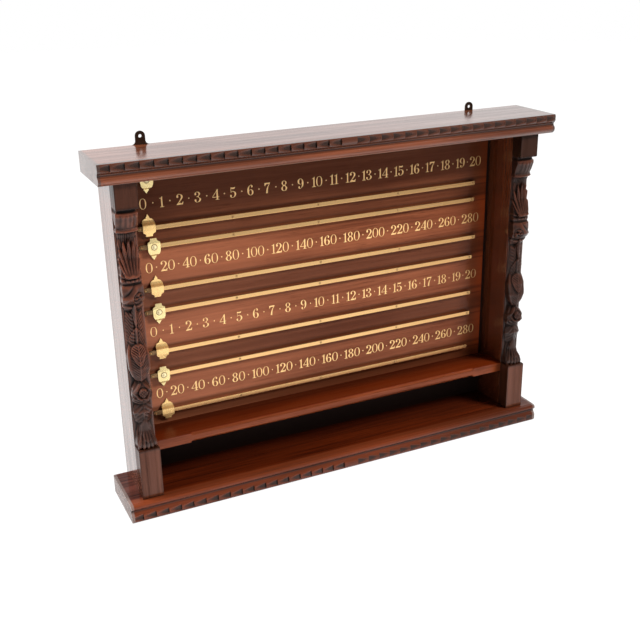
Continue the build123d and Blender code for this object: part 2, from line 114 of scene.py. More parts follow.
# Numbers: labels of rows 1 and 3 stand a pitch apart, and those of rows 2 and 4 a gap apart
ROW_LEVELS = {"1": 0.6278, "2": 0.496, "3": 0.3585, "4": 0.219}
SINGLES_START = -0.3911
SINGLES_PITCH = 0.03755  # 0 to 10
TENS_PITCH = 0.03955  # 10 to 20
TWENTIES_START, TWENTIES_END = -0.3892, 0.3719  # middles of the first and the last label
FIGURE_HEIGHT = 22 * MM
FIGURE_GAP = 0.035  # between the figures of a label, as a share of their height
DOT_RADIUS = 1.5 * MM
STROKE_THINNING = {"1": 0.22 * MM, "2": 0.26 * MM, "3": 0.3 * MM, "4": 0.18 * MM}  # off each side
GILT_THICKNESS = 0.08 * MM

# Pointers
STUD_DROP = 1.5 * MM  # of the stud's middle below the rail's
STUD_RING = (5.7 * MM, 1.7 * MM)  # radius and reach of the painted shade and tarnish round a stud
FOLD_BAND = (8.5 * MM, 5 * MM)  # middle above the rail's, and reach, of the brown band of a lower pointer
POINTER_DOME = 80 * MM  # radius of the slight crown of a pointer's face
POINTER_LEANS = {"upper": 0.14, "lower": 0.07}  # slope of its face, which hangs forward at the top
LOWEST_LEAN = -0.03
POINT_SLOPE = (-20.5 * MM, -16.5 * MM)  # an upper pointer seems bent back between these heights
POINT_TILT = 1.5 * MM  # by this much

# Screws
SCREW_HEAD = 2.8 * MM
SCREW_SHANK = 1.2 * MM
SCREW_SINK = 1.8 * MM  # height of the countersunk part of a head
SLOT_WIDTH = 0.8 * MM
FLUSH_HEAD = 0.1 * MM  # height of the flat top of a flush head
STANDS_OUT = 0.2 * MM  # heads that rise more than this are raised ones
SCREW_SIDES = 20
SCREW_POINT = 0.2  # radius of the point, as a share of the shank's
RAISED_TOP = 0.62  # radius of the top of a raised head, as a share of the head's
SCREW_CREASE = 30  # degrees from which an edge is shaded sharp


def in_scene(name, data):
    """New object of the scene, with its mesh, curve, lamp or camera."""
    item = bpy.data.objects.new(name, data)
    scene.collection.objects.link(item)
    return item


def finished_mesh(holder, name):
    """Mesh of an object with its modifiers applied. The object is removed."""
    mesh = bpy.data.meshes.new_from_object(holder.evaluated_get(bpy.context.evaluated_depsgraph_get()))
    holder.modifiers.clear()
    bpy.data.objects.remove(holder)
    mesh.name = name
    return mesh


def merged_copy(node):
    """Shape of a CAD node with its loose triangles joined."""
    shape = bmesh.new()
    shape.from_mesh(frame["nodes"][node].data)
    bmesh.ops.remove_doubles(shape, verts=shape.verts, dist=WELD)
    return shape


def mesh_of(shape, name):
    """Mesh of a shape, which is freed."""
    mesh = bpy.data.meshes.new(name)
    shape.to_mesh(mesh)
    shape.free()
    return mesh


class Value:
    """Output of a node that takes part in Python arithmetic by adding Math nodes."""

    def __init__(self, graph, socket):
        self.graph = graph
        self.socket = socket

    def __add__(self, other):
        return self.graph.math("ADD", self, other)

    def __sub__(self, other):
        return self.graph.math("SUBTRACT", self, other)

    def __rsub__(self, other):
        return self.graph.math("SUBTRACT", other, self)

    def __mul__(self, other):
        return self.graph.math("MULTIPLY", self, other)

    def __truediv__(self, other):
        return self.graph.math("DIVIDE", self, other)

    def __pow__(self, other):
        return self.graph.math("POWER", self, other)

    def __abs__(self):
        return self.graph.math("ABSOLUTE", self)

    __radd__ = __add__
    __rmul__ = __mul__


class Graph:
    """A tree of nodes being made."""

    family = "ShaderNode"

    def node(self, kind, settings=None, inputs=None, output=0):
        """Add a node of a kind with its settings, and then the values or links of its sockets."""
        node = self.tree.nodes.new(kind if "Node" in kind else self.family + kind)
        for name, setting in (settings or {}).items():
            if name == "stops":
                for place, colour in setting[2:]:
                    node.color_ramp.elements.new(place)
                for element, (place, colour) in zip(node.color_ramp.elements, setting):
                    element.position = place
                    element.color = (*colour, 1)
            else:
                setattr(node, name, setting)
        for name, value in (inputs or {}).items():
            socket = node.inputs[name]
            if isinstance(value, Value):
                self.tree.links.new(value.socket, socket)
            elif isinstance(value, list):
                for item in reversed(value):
                    self.tree.links.new(item.socket, socket)
            elif socket.type == "RGBA":
                socket.default_value = (*value, 1)
            else:
                socket.default_value = value
        return Value(self, node.outputs[output]) if node.outputs else None

    def math(self, operation, first, second=0):
        return self.node("ShaderNodeMath", {"operation": operation}, {0: first, 1: second})


class Finish(Graph):
    """A material being made, or the world."""

    def __init__(self, name, holder=None):
        self.material = holder or bpy.data.materials.new(name)
        self.material.use_nodes = True
        self.tree = self.material.node_tree
        self.tree.nodes.clear()

    def greatest(self, first, second):
        return self.math("MAXIMUM", first, second)

    def between(self, value, low, high):
        """0 below low and 1 above high, with a smooth step between them."""
        return self.node("MapRange", {"interpolation_type": "SMOOTHSTEP"},
                         {"Value": value, "From Min": low, "From Max": high})

    def near(self, value, place, reach):
        """1 at a place and 0 past its reach on both sides."""
        return self.between(abs(value - place), reach, 0)

    def axis(self, letter):
        """One coordinate of the object, in metres."""
        return self.node("SeparateXYZ", None, {"Vector": self.node("TexCoord", output="Object")}, letter)

    def noise(self, *scale, detail=3, roughness=0.5, distortion=0):
        """Noise over the object. The scale is its fineness along each axis, per metre."""
        place = self.node("Mapping", None, {"Vector": self.node("TexCoord", output="Object"), "Scale": scale})
        settings = {"Scale": 1, "Detail": detail, "Roughness": roughness, "Distortion": distortion}
        return self.node("TexNoise", None, {"Vector": place, **settings})

    def mix(self, factor, first, second):
        """Mix of two colours."""
        return self.node("Mix", {"data_type": "RGBA"}, {0: factor, 6: first, 7: second}, 2)

    def bump(self, height, strength, distance, **normal):
        inputs = {"Height": height, "Strength": strength, "Distance": distance, **normal}
        return self.node("Bump", None, inputs)

    def surface(self, **inputs):
        """Finish with a Principled shader. Spaces in its socket names are written as underscores."""
        shader = self.node(
            "BsdfPrincipled", None, {name.replace("_", " "): value for name, value in inputs.items()})
        self.node("OutputMaterial", None, {"Surface": shader})
        return self.material


class Pattern(Graph):
    """A Geometry Nodes tree being made, with named inputs."""

    family = "GeometryNode"

    def __init__(self, name, inputs):
        self.tree = bpy.data.node_groups.new(name, "GeometryNodeTree")
        add = self.tree.interface.new_socket
        add("Geometry", in_out="INPUT", socket_type="NodeSocketGeometry")
        add("Geometry", in_out="OUTPUT", socket_type="NodeSocketGeometry")
        self.sockets = {name: add(name, in_out="INPUT", socket_type=f"NodeSocket{kind}")
                        for name, kind in inputs.items()}
        self.entry = self.tree.nodes.new("NodeGroupInput")

    def given(self, name):
        return Value(self, self.entry.outputs[name])

    def made_from(self, points, **values):
        """Mesh that the tree makes from points, with values for its inputs."""
        seeds = bpy.data.meshes.new("seed_points")
        seeds.from_pydata(points, [], [])
        holder = in_scene("seed_points", seeds)
        modifier = holder.modifiers.new("pattern", "NODES")
        modifier.node_group = self.tree
        for name, value in values.items():
            modifier[self.sockets[name].identifier] = value
        return finished_mesh(holder, "pattern")


def slotted_screws():
    """Screws with countersunk slotted heads, one on each point, each turned as it happened to stop."""
    sizes = ("Head", "Shank", "Sink", "Raise", "Slot", "Length", "Tilt")
    tree = Pattern("slotted screws", {**dict.fromkeys(sizes, "Float"), "Seed": "Int", "Material": "Material"})
    head, shank, sink, raised, slot = (tree.given(name) for name in sizes[:5])

    def vector(**parts):
        return tree.node("ShaderNodeCombineXYZ", None, parts)

    def shifted(shape, up):
        return tree.node("Transform", None, {"Geometry": shape, "Translation": vector(Z=up)})

    def cone(top, bottom, depth):
        radii = {"Radius Top": top, "Radius Bottom": bottom}
        return tree.node("MeshCone", None, {"Vertices": SCREW_SIDES, **radii, "Depth": depth})

    body = tree.given("Length") - sink
    parts = [cone(shank, shank * SCREW_POINT, body), shifted(cone(head, shank, sink), body),
             shifted(cone(head * RAISED_TOP, head, raised), body + sink)]
    blank = shifted(tree.node("JoinGeometry", None, {"Geometry": parts}), body * -1 - sink)
    cutter = tree.node("MeshCube", None, {"Size": vector(X=head * 3, Y=slot, Z=slot * 2 + raised)})
    cutter = shifted(cutter, raised * 0.5)
    cut = tree.node("MeshBoolean", {"operation": "DIFFERENCE"}, {"Mesh 1": blank, "Mesh 2": cutter})
    turn = tree.node("FunctionNodeRandomValue", None, {2: 0.0, 3: pi, "Seed": tree.given("Seed")}, 1)
    facing = vector(X=tree.given("Tilt"), Y=turn)
    seats = tree.given("Geometry")
    placed = tree.node("InstanceOnPoints", None, {"Points": seats, "Instance": cut, "Rotation": facing})
    real = tree.node("RealizeInstances", None, {"Geometry": placed})
    done = tree.node("SetMaterial", None, {"Geometry": real, "Material": tree.given("Material")})
    tree.tree.links.new(done.socket, tree.tree.nodes.new("NodeGroupOutput").inputs[0])
    return tree


def mahogany(name, grain, dark, light, ribbon=0.5, shade=None, roughness=0.3, coat=0.9, gloss=0, sheen=0.14):
    """Old polished mahogany. The grain runs along one axis, and shade changes the colour by place."""
    finish = Finish(name)

    def fibres(across, length, **settings):
        return finish.noise(*(length if axis == grain else across for axis in "XYZ"), **settings)

    figure = fibres(16, 1.6, detail=4, distortion=0.8)
    streaks = fibres(150, 3.5, detail=5, roughness=0.62)
    pores = fibres(620, 24, detail=2)
    tone = figure * ribbon + streaks * (1.05 - ribbon)
    colour = finish.node("ValToRGB", {"stops": [(0.37, dark), (0.66, light)]}, {"Fac": tone})
    pore_mask = finish.between(pores, 0.58, 0.72)
    colour = finish.mix(pore_mask * 0.5, colour, tuple(part * 0.35 for part in dark))
    if shade:
        colour = shade(finish, colour)
    ripple = fibres(60, 14, detail=2)
    normal = finish.bump(ripple, 0.08, 1.0 * MM)
    worn = finish.between(streaks * 0.6 + figure * 0.4, 0.62, 0.36)
    return finish.surface(
        Base_Color=colour, Roughness=streaks * 0.16 + (roughness - 0.08), Normal=normal,
        Specular_IOR_Level=gloss, Coat_Weight=coat * (1 - worn * 0.45) * (1 - pore_mask * 0.4),
        Coat_Roughness=sheen, Coat_IOR=1.5)


def dark_scoops(roll_centre, roll_radius, cove, end_colour, painted_shade, finish, colour):
    """Painted light for a moulding: painted shade in the cove and in the gouge cuts by their depth below the
    uncut roll, a share of it over the whole roll, and dimming to the right; a painted highlight on its front."""
    out = finish.axis("Y") - roll_centre[0]
    up = finish.axis("Z") - roll_centre[1]
    depth = roll_radius - (out * out + up * up) ** 0.5
    near_roll = finish.between(out, 0.2 * roll_radius, -0.2 * roll_radius)
    near_roll = near_roll * finish.between(abs(up), 0.9 * roll_radius, 0.8 * roll_radius)
    cut = finish.between(depth, *SCOOP_SHADE) * near_roll
    front = finish.between(out, *FRONT_HIGHLIGHT)
    # painted highlight: the front of the moulding is lighter
    colour = finish.mix(front * 0.22, colour, (0.34, 0.085, 0.03))
    # painted shade: darker towards the right
    painted_dimming = finish.between(finish.axis("X"), 0, 0.45)
    colour = finish.mix(painted_dimming * (front * 0.25 + 0.35), colour, (0.024, 0.006, 0.003))
    # painted shade over the whole carved roll, by its share
    colour = finish.mix(near_roll * painted_shade, colour, (0.034, 0.011, 0.006))
    # painted shade in the gouge cuts, by their depth
    colour = finish.mix(cut * 0.92, colour, (0.016, 0.006, 0.003))
    ends = finish.between(abs(finish.axis("X")), *(cad_box[1][0] - inset for inset in END_GRAIN))
    rings = finish.noise(30, 190, 420, detail=4, roughness=0.65, distortion=0.5)
    colour = finish.mix(ends * (rings * 0.9 + 0.32), colour, end_colour)
    # painted shade in the cove
    hollow = finish.near(finish.axis("Z"), cove, COVE_REACH) * front
    return finish.mix(hollow * 0.85, colour, (0.012, 0.004, 0.002))


def dark_well(moulding, half_width, front, back, finish, colour):
    """Painted shade for the base board: that of its moulding, and darker towards the back of the well."""
    inside = finish.between(abs(finish.axis("X")), half_width + 15 * MM, half_width)
    drift = (finish.noise(3, 20, 20) - 0.5) * 0.03
    # painted shade, deepening towards the back of the well
    deep = finish.between(finish.axis("Y") + drift, front, back) * inside
    return finish.mix(deep * 0.72, moulding(finish, colour), (0.012, 0.002, 0.001))


def worn_ledge(height, front, back, finish, colour):
    """Painted light for the ledge: its top is dark at the back, painted shade and reflection of the board
    above, and red in a band by its front edge, a painted highlight.
    """
    above = finish.between(finish.axis("Z"), height - 1.6 * MM, height - 0.6 * MM)
    drift = finish.noise(6, 30, 30) * 0.4 - 0.2
    depth = (finish.axis("Y") - front) / (back - front) + drift
    # painted reflection and shade at the back, painted highlight at the front
    top = finish.mix(finish.between(depth, 0.15, 0.75), (0.094, 0.01, 0.001), (0.026, 0.003, 0.001))
    return finish.mix(above * 0.78, colour, top)


def dirt_lines(middle, half_width, levels, finish, colour):
    """Painted shade for the square blocks: dark along their edges and in the seams with their neighbours, and
    darker high up and to the right.
    """
    across = abs(abs(finish.axis("X")) - middle)
    # painted shade along the edges and in the seams
    painted_shade = finish.between(across, half_width - CORNER_SHADE, half_width) * 0.6
    for level in levels:
        painted_shade = finish.greatest(painted_shade, finish.near(finish.axis("Z"), level, SEAM_SHADE))
    # painted shade: darker high up, under the cornice, and more so to the right
    high = finish.between(finish.axis("Z"), 0.3, 0.5)
    painted_dimming = high * (finish.between(finish.axis("X"), -0.1, 0.3) * 0.38 + 0.52)
    colour = finish.mix(painted_dimming, colour, (0.018, 0.007, 0.004))
    return finish.mix(painted_shade * 0.8, colour, (0.014, 0.005, 0.003))


def lived_in(levels, finish, colour):
    """Painted light for the numbered board: painted shade along each rail, under the cornice and at the
    right, strips between the rows darker, partly as painted shade, and a painted pool of light at the left
    middle.
    """
    along, up = finish.axis("X"), finish.axis("Z")
    drift = (finish.noise(5, 5, 16) - 0.5) * 0.16
    # painted light: a paler pool where the light falls on the left middle
    painted_light_pool = finish.between(along + drift, 0.1, -0.4) * finish.between(up + drift, 0.6, 0.52)
    colour = finish.mix(painted_light_pool * 0.36, colour, (0.4, 0.14, 0.072))
    low = finish.between(along + drift, -0.3, 0) * finish.between(up, 0.45, 0.25)
    colour = finish.mix(low * 0.3, colour, (0.09, 0.022, 0.009))
    # painted shade: darker towards the right, in the shade of the right side board
    painted_dimming = finish.between(along + drift, 0.2, 0.4)
    colour = finish.mix(painted_dimming * 0.55, colour, (0.1, 0.022, 0.007))
    red_edge = finish.between(along + drift * 0.2, 0.375, 0.415)
    colour = finish.mix(red_edge * 0.65, colour, (0.26, 0.036, 0.005))
    # painted shade under the cornice, and darker strips between the rows, partly painted shade
    shade_and_strips = finish.between(up + drift * 0.3, 0.56, 0.61)
    painted_shade = 0
    for lower, upper in zip(levels[1::2], levels[2::2] + [PANEL_FOOT]):
        shade_and_strips = finish.near(up, (lower + upper) / 2, (lower - upper) / 2 + 8 * MM) + shade_and_strips
    # painted shade along each rail, above and below it
    for level in levels:
        painted_shade = finish.near(up, level + SHADE_ABOVE[0], SHADE_ABOVE[1]) + painted_shade
        painted_shade = finish.near(up, level - SHADE_BELOW[0], SHADE_BELOW[1]) + painted_shade
    colour = finish.mix(shade_and_strips * 0.68, colour, (0.05, 0.013, 0.005))
    return finish.mix(painted_shade * 0.5, colour, (0.03, 0.009, 0.004))


def stained_front(middle, finish, colour):
    """Shade for the back panel: stained dark on the side that shows in the well."""
    in_front = finish.between(finish.axis("Y"), middle + MM, middle - MM)
    return finish.mix(in_front, colour, (0.011, 0.003, 0.001))


def dark_carving():
    """Carved mahogany, with painted shade nearly black in its hollows and dimming it to the right, and rubbed
    to red on its high spots.
    """
    finish = Finish("carved mahogany")
    hollow = finish.node("Attribute", {"attribute_name": "hollow"}, output="Fac")
    grain = finish.noise(220, 220, 14, detail=4, roughness=0.6)
    patches = finish.noise(26, 26, 26)
    # rubbed wear on the high spots, lessened in the hollows by painted shade
    wear_and_shade = finish.between(1 - hollow + (patches - 0.5) * 1.4 + (grain - 0.5) * 0.3, 0.4, 1)
    colour = finish.mix(wear_and_shade, (0.046, 0.015, 0.009), (0.112, 0.031, 0.015))
    # painted shade, nearly black in the hollows
    colour = finish.mix(finish.between(hollow, 0.56, 0.98), colour, (0.006, 0.003, 0.002))
    # painted shade: darker and less glossy towards the right
    painted_dimming = finish.between(finish.axis("X"), -0.1, 0.3)
    colour = finish.mix(painted_dimming * 0.55, colour, (0.012, 0.006, 0.004))
    foot = finish.between(finish.axis("Z"), 0.36, 0.26)
    colour = finish.mix(foot * 0.55, colour, (0.024, 0.012, 0.009))
    tool_marks = finish.noise(520, 520, 520, roughness=0.6)
    normal = finish.bump(tool_marks, 0.35, 0.5 * MM, Normal=finish.bump(grain, 0.12, 0.4 * MM))
    return finish.surface(
        Base_Color=colour, Roughness=0.38 + hollow * 0.3, Normal=normal, Specular_IOR_Level=0.1,
        Coat_Weight=(1 - hollow * 0.8) * (1 - painted_dimming * 0.35), Coat_Roughness=0.08)


def brass(name, colour, tarnish, dullness, roughness, drawn=False, metal=1):
    """Brass with clouds of tarnish, which its dullness spreads. Drawn brass has fine lines, painted shade at
    its left end, and painted shade dimming it to the right.
    """
    finish = Finish(name)
    clouds = finish.noise(55, 55, 55, detail=5, roughness=0.65, distortion=0.4)
    lines = finish.noise(*((6, 260, 260) if drawn else (200, 200, 200)), detail=2)
    tarnish_and_shade = finish.between(clouds + (lines - 0.5) * 0.2, 0.66 - 0.4 * dullness, 0.92 - 0.3 * dullness)
    if drawn:
        # painted shade on the left end of a rail, which joins the tarnish
        shaded_left_end = finish.between(finish.axis("X"), -0.383, -0.392)
        tarnish_and_shade = finish.greatest(tarnish_and_shade, shaded_left_end * (clouds * 0.8 + 0.6))
        # painted shade: dimmer towards the right
        painted_dimming = finish.between(finish.axis("X"), 0, 0.42)
        dim = tuple(share * part for share, part in zip((0.62, 0.52, 0.46), colour))
        colour = finish.mix(painted_dimming * 0.55, colour, dim)
    return finish.surface(
        Base_Color=finish.mix(tarnish_and_shade * 0.9, colour, tarnish), Metallic=metal - tarnish_and_shade * 0.25,
        Roughness=lines * 0.1 + (roughness - 0.05))


def pointer_metal():
    """Brass of the pointers: bright on a softly domed face, brown by the folds, and dark round the stud,
    painted shade and tarnish.
    """
    finish = Finish("polished brass")
    own_place = finish.node("Attribute", {"attribute_name": "own_place"}, output="Vector")
    across, upper, up = (finish.node("SeparateXYZ", None, {"Vector": own_place}, letter) for letter in "XYZ")
    clouds = finish.noise(90, 90, 90, detail=4, roughness=0.6, distortion=0.5)
    drop = up + STUD_DROP
    from_stud = (across * across + drop * drop) ** 0.5
    ring = finish.near(from_stud, *STUD_RING) * upper
    band = finish.near(up, *FOLD_BAND) * (1 - upper)
    clean = finish.mix(upper, (1, 0.66, 0.27), (1, 0.8, 0.38))
    colour = finish.mix(finish.between(clouds, 0.45, 0.85) * 0.35, clean, (0.85, 0.5, 0.18))
    colour = finish.mix(band * (clouds * 0.7 + 0.3), colour, (0.6, 0.24, 0.05))
    # painted shade and tarnish round the stud
    colour = finish.mix(ring * 0.9, colour, (0.1, 0.045, 0.015))
    lean = finish.node("Attribute", {"attribute_name": "lean"}, output="Fac")
    dome = up * lean - across * across * (1 / (2 * POINTER_DOME))
    dome = dome - finish.between(up, *POINT_SLOPE) * upper * POINT_TILT
    return finish.surface(
        Base_Color=colour, Metallic=0.66 - ring * 0.2, Roughness=clouds * 0.14 + 0.2,
        Normal=finish.bump(dome, 1, 1))


def gilt_paint():
    """Gilt paint of the numbers, worn in specks, and duller to the right as painted shade."""
    finish = Finish("gilt paint")
    worn = finish.noise(420, 420, 420, detail=4, roughness=0.7)
    painted_shade_right = finish.between(finish.axis("X"), 0.1, 0.42)
    colour = finish.mix(finish.between(worn, 0.5, 0.75), (0.96, 0.63, 0.27), (0.62, 0.34, 0.11))
    # painted shade: duller towards the right
    colour = finish.mix(painted_shade_right * 0.7, colour, (0.4, 0.22, 0.07))
    return finish.surface(
        Base_Color=colour, Metallic=0.35, Roughness=0.45, Normal=finish.bump(worn, 0.2, 0.1 * MM))


def raw_wood(shade):
    """Unpolished wood behind the case, grey with age, and stained where it shows in front."""
    finish = Finish("unpolished wood")
    streaks = finish.noise(3, 90, 120, detail=6, roughness=0.65)
    dust = finish.noise(7, 7, 7, detail=4)
    colour = finish.node(
        "ValToRGB", {"stops": [(0.32, (0.075, 0.04, 0.024)), (0.7, (0.2, 0.115, 0.07))]}, {"Fac": streaks})
    colour = shade(finish, finish.mix(dust * 0.5, colour, (0.19, 0.16, 0.13)))
    return finish.surface(
        Base_Color=colour, Roughness=0.72, Specular_IOR_Level=0.2,
        Normal=finish.bump(streaks, 0.3, 0.4 * MM))


def new_piece(name, mesh, body, slot, material, *replaced):
    """Object at the origin that rides on a body, and stands for the CAD nodes it replaces."""
    piece = in_scene(name, mesh)
    mesh.materials.clear()
    mesh.materials.append(material)
    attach(piece, body)
    if replaced:
        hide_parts(*replaced)
    return piece


def body_of(node):
    """Body that a CAD node rides on."""
    return next(body for body, nodes in frame["record"]["behaviour"]["bodies"].items() if node in nodes)


def eased(node, name, slot, material, rounding):
    """Copy of a CAD node with its sharp edges rounded over and its faces shaded flat."""
    shape = merged_copy(node)
    bmesh.ops.dissolve_limit(shape, angle_limit=radians(FLAT), verts=shape.verts, edges=shape.edges)
    bmesh.ops.recalc_face_normals(shape, faces=shape.faces)
    mesh = mesh_of(shape, "sharp_piece")
    mesh.shade_smooth()
    holder = in_scene("sharp_piece", mesh)
    bevel = holder.modifiers.new("rounded edges", "BEVEL")
    bevel.width = rounding
    bevel.segments = 2
    bevel.limit_method = "ANGLE"
    bevel.angle_limit = radians(SHARP_EDGE)
    holder.modifiers.new("flat faces", "WEIGHTED_NORMAL")
    return new_piece(name, finished_mesh(holder, name), body_of(node), slot, material, node)


def islands(node):
    """Lowest and highest corners of each loose piece of a CAD node."""
    shape = merged_copy(node)
    left, boxes = set(shape.verts), []
    while left:
        ready, piece = [left.pop()], []
        while ready:
            vertex = ready.pop()
            piece.append(vertex.co.copy())
            for edge in vertex.link_edges:
                neighbour = edge.other_vert(vertex)
                if neighbour in left:
                    left.remove(neighbour)
                    ready.append(neighbour)
        boxes.append([
            Vector(pick(point[axis] for point in piece) for axis in range(3)) for pick in (min, max)])
    shape.free()
    return sorted(boxes, key=lambda box: tuple(box[0]))


def real_screws(node, material, tree, seed):
    """Slotted screws where a CAD node has its plain ones."""
    boxes = islands(node)
    in_front = node == "rail_screws"
    flush = max(low.y for low, high in boxes) if in_front else min(high.y for low, high in boxes)
    seats = {True: flush, False: flush + (FLUSH_HEAD if in_front else -FLUSH_HEAD)}
    made = bmesh.new()
    for stands_out in (False, True):
        points, raised, length = [], 0.0, 0.0
        for low, high in boxes:
            proud = abs((low.y if in_front else high.y) - flush)
            if (proud > STANDS_OUT) == stands_out:
                points.append(((low.x + high.x) / 2, seats[stands_out], (low.z + high.z) / 2))
                raised, length = proud, high.y - low.y - proud
        if points:
            made.from_mesh(tree.made_from(
                points, Head=SCREW_HEAD, Shank=SCREW_SHANK, Sink=SCREW_SINK, Raise=max(raised, FLUSH_HEAD),
                Length=length - 2 * FLUSH_HEAD, Slot=SLOT_WIDTH, Tilt=pi / 2 if in_front else -pi / 2,
                Seed=seed, Material=material))
    mesh = mesh_of(made, f"{node}_slotted")
    mesh.shade_smooth()
    mesh.set_sharp_from_angle(angle=radians(SCREW_CREASE))
    new_piece(f"{node}_slotted", mesh, body_of(node), "screws", material, node)


def bright_pointer(name, material):
    """Pointer with fine rounded edges, which carries its own coordinates from the middle of its rail."""
    node = f"pointer_{name}"
    piece = eased(node, f"{node}_plate", "pointers", material, FINE_ARRIS)
    low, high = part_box(node)
    rail_low, rail_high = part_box(f"rail_{name}")
    middle = Vector(((low.x + high.x) / 2, 0, (rail_low.z + rail_high.z) / 2))
    upper = float(name.endswith("upper"))
    lean = piece.data.attributes.new("lean", "FLOAT", "POINT")
    slope = LOWEST_LEAN if name == "4_lower" else POINTER_LEANS[name[2:]]
    lean.data.foreach_set("value", [slope] * len(piece.data.vertices))
    attribute = piece.data.attributes.new("own_place", "FLOAT_VECTOR", "POINT")
    for vertex, item in zip(piece.data.vertices, attribute.data):
        item.vector = (vertex.co.x - middle.x, upper, vertex.co.z - middle.z)


# Pilasters. Each motif is lofted through stations of (height, half width, edge, crest), in hundredths of
# the height between the plinth and the cap block, of half the stile's width, and of its projection. The
# edge and the crest are how far the motif stands out at its sides and in its middle.
STILE_WIDTH = 0.044
STILE_PROJECTION = 0.0315
CARVING_GROUND = 0.0025
CARVED_DROP = {
    "capital": [(91.25, 90, 30, 56), (93.4, 93, 42, 66), (97.2, 98, 70, 90), (100, 97, 62, 84)],
    "astragal": [(90.4, 90, 26, 48), (90.9, 98, 40, 64), (91.8, 98, 42, 66), (92.3, 91, 30, 54)],
    "neck": [(85, 84, 8, 30), (88, 84, 10, 34), (90.8, 90, 26, 50)],
    "husk": [(72.6, 96, 52, 78), (73.2, 100, 58, 84), (74.5, 100, 52, 76), (80.3, 96, 24, 50),
        (88, 92, 20, 46)],
    "rosette": [(59, 78, 12, 34), (61.2, 86, 24, 48), (64.6, 97, 62, 84), (70, 95, 56, 78),
        (73.4, 88, 38, 56)],
    "long_leaf": [(43, 84, 8, 28), (48.9, 90, 12, 38), (56, 80, 10, 40), (62.4, 66, 18, 44)],
    "drop_leaf": [(28.6, 14, 20, 44), (29.9, 42, 34, 64), (32.1, 76, 46, 78), (35, 96, 54, 82),
        (40.5, 98, 42, 68), (45.7, 70, 12, 36)],
    "bud": [(19, 66, 10, 34), (22.2, 94, 48, 82), (26.2, 92, 46, 80), (30, 40, 10, 30)],
    "spray": [(10.5, 72, 6, 30), (15.5, 92, 28, 54), (20.5, 60, 8, 30)],
    "acanthus": [(0, 98, 58, 80), (1, 100, 62, 84), (3.6, 98, 50, 76), (7.2, 84, 20, 50),
        (13.5, 42, 10, 36)],
}


def step(low, high, value):
    """0 below low and 1 above high, with a smooth step between them."""
    share = np.clip((value - low) / (high - low), 0, 1)
    return share * share * (3 - 2 * share)


def hump(value, width):
    """1 where value is 0, fading to 0 at a distance of about twice the width."""
    return np.exp(-(value / width) ** 2)


def wave(value, pitch):
    """Cosine that repeats at a pitch."""
    return np.cos(2 * pi * value / pitch)


def leaf_mask(across, height, half_width, length):
    """1 inside a pointed leaf whose stem is at 0, 0 and whose tip is at its length, fading at its edge."""
    share = np.clip(height / length, 0, 1)
    reach = half_width * np.sin(pi * share ** 0.75) ** 0.8
    ends = step(-0.5, 0.5, height) * step(length + 0.5, length - 0.5, height)
    return step(0.0, 1.6, reach - abs(across)) * ends


# Reliefs, outward. u runs from -1 to 1 across a motif's front and v from 0 to 1 up its height, and across
# and height are the same places in mm. All take the same four, and each uses those that it needs.
def capital_relief(u, v, across, height):
    flutes = 0.35 * wave(across, 8.5) * step(0.1, 0.3, v) * step(0.8, 0.7, v)
    return flutes + 0.9 * hump(v - 0.4, 0.28) - 2.4 * step(0.8, 0.86, v) + 1.2 * step(0.95, 0.99, v)


def astragal_relief(u, v, across, height):
    ripple = 0.06 * wave(across, 9)
    return hump(v - 0.88 + ripple, 0.1) + 0.8 * hump(v - 0.3, 0.22) - 1.6 * hump(v - 0.66, 0.1)


def neck_relief(u, v, across, height):
    return 0.45 * wave(across, 3.4) - 0.8 * hump(v - 0.5, 0.3)


def husk_relief(u, v, across, height):
    fan = across / (height + 30)
    leaf = np.clip(np.round(fan / 0.105), -4, 4)
    q = (fan - leaf * 0.105) / 0.105
    veins = 0.3 * wave(fan, 0.035) + 0.5 * hump(q, 0.12)
    blade = 1.3 * np.maximum(np.cos(pi * q), 0) ** 0.7 - 0.8 + veins
    tips = 0.97 - 0.055 * leaf ** 2 - 0.9 * abs(q) ** 1.5
    cut = -4.5 * step(-0.02, 0.03, v - tips)
    foot = 1.5 * hump(v - 0.06 - 0.02 * wave(across, 11), 0.035) - 1.8 * hump(v, 0.03)
    return blade * step(0.06, 0.34, v) + foot + cut + 1.4 * hump(v - 0.16, 0.18)


def rosette_relief(u, v, across, height):
    beads = 1.7 * abs(np.cos(pi * across / 8)) ** 0.6 * hump(v - 0.9, 0.05)
    beads = beads - 2.4 * hump(v - 0.79, 0.045)
    garland = v - 0.46 - 0.2 * np.sin(1.7 * u + 0.3)
    swag = 2 * hump(garland, 0.12) * step(0.5, 0.1, u)
    swag = swag - 1.2 * hump(garland - 0.2, 0.05) * step(0.3, -0.1, u)
    side, up = across - 9.5, height - 0.42 * 71
    radius, turn = np.hypot(side, up), np.arctan2(up, side)
    petals = 1.9 * np.cos(2.5 * turn + radius * 0.25) * hump(radius - 5.5, 3.4)
    rose = petals + 1.8 * hump(radius, 2.2) - 1.5 * hump(radius - 3.2, 0.9) - 1.4 * hump(radius - 10.5, 1.2)
    hem = v - 0.1 - 0.05 * u * u
    foot = 1.6 * hump(hem, 0.035) - 1.9 * hump(hem - 0.085, 0.03) - 2.5 * step(0.04, 0, v)
    return beads + swag + rose + foot


def long_leaf_relief(u, v, across, height):
    sweep = height - abs(across) * 1.15 + 1.6 * np.sin(across * 0.5)
    barb = (sweep / 7.4) % 1
    barbs = 1.1 * barb - 1.2 * hump(barb, 0.12) - 0.4 + 0.25 * wave(sweep, 1.9)
    rib = 1.5 * hump(across, 1.5) - 0.9 * hump(abs(across) - 3.4, 1.1)
    eyes = -5.5 * hump(abs(across) - 10.5, 4.2) * hump(v - 0.87, 0.1)
    spear = 2.6 * leaf_mask(across, 96 - height, 5.2, 52)
    second = 1.8 * leaf_mask(across, height - 2, 15, 44) * step(0.9, 0.7, v)
    return barbs * step(1.5, 4, abs(across)) + rib + eyes + spear + second


